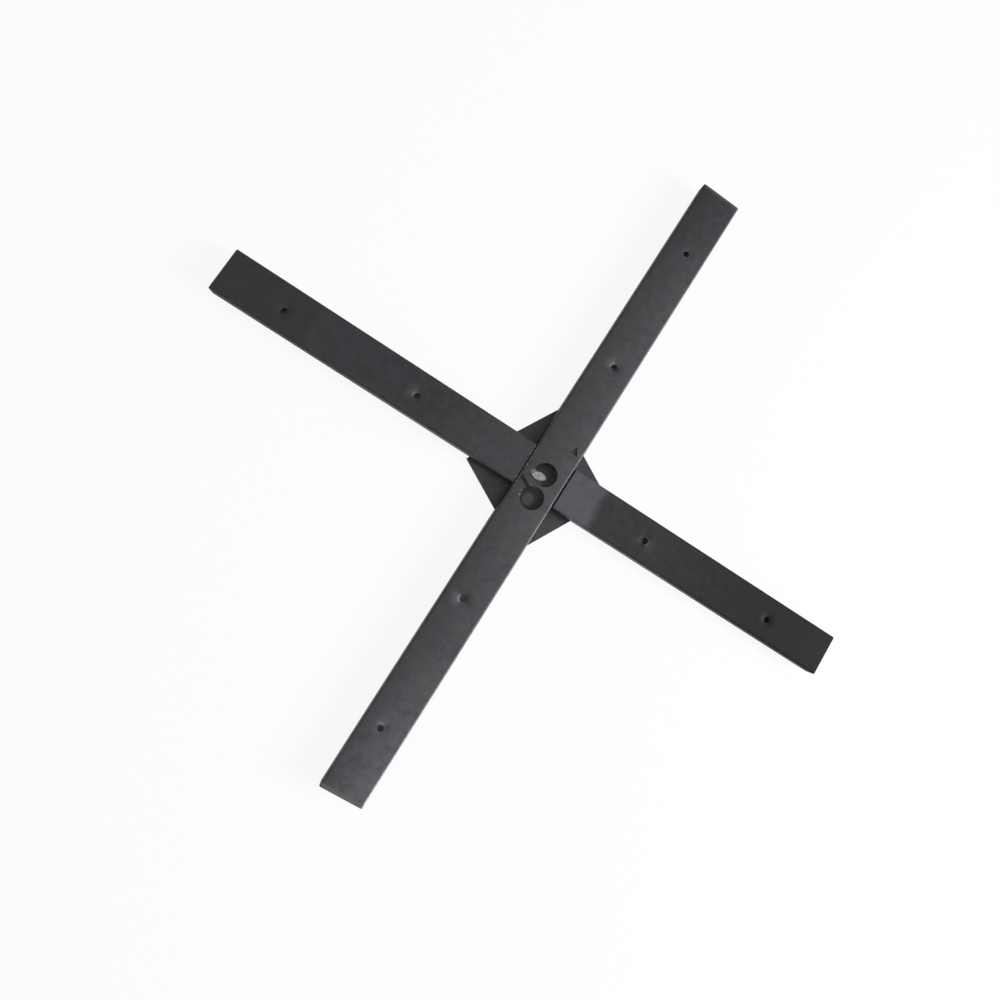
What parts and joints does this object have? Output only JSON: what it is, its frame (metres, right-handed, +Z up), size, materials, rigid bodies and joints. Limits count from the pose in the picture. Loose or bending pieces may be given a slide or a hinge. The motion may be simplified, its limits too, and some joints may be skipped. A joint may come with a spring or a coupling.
{
  "type": "table base cross frame",
  "caption": "Cross frame of a table base in flat rectangular tube with pressed screw holes, access openings at the crossing and a turned square plate with a bore welded below.",
  "frame": {"origin": "on the plate's underside, straight below the point where the middle lines of the tubes cross", "axes": "+Z up, out of the face that the picture shows; +Y along the long tube; +X along the short tubes"},
  "size_m": [0.6, 0.6, 0.0231],
  "materials": {
    "painted_tube": "satin charcoal paint, finely mottled",
    "painted_plate": "satin charcoal paint, finely mottled",
    "painted_weld": "satin charcoal paint over a rippled weld"
  },
  "bodies": {
    "root": {"long_tube": "painted_tube", "short_tube_east": "painted_tube", "short_tube_west": "painted_tube", "mounting_plate": "painted_plate", "weld_bead_east": "painted_weld", "weld_bead_north": "painted_weld", "weld_bead_west": "painted_weld", "weld_bead_south": "painted_weld"}
  },
  "joints": []
}
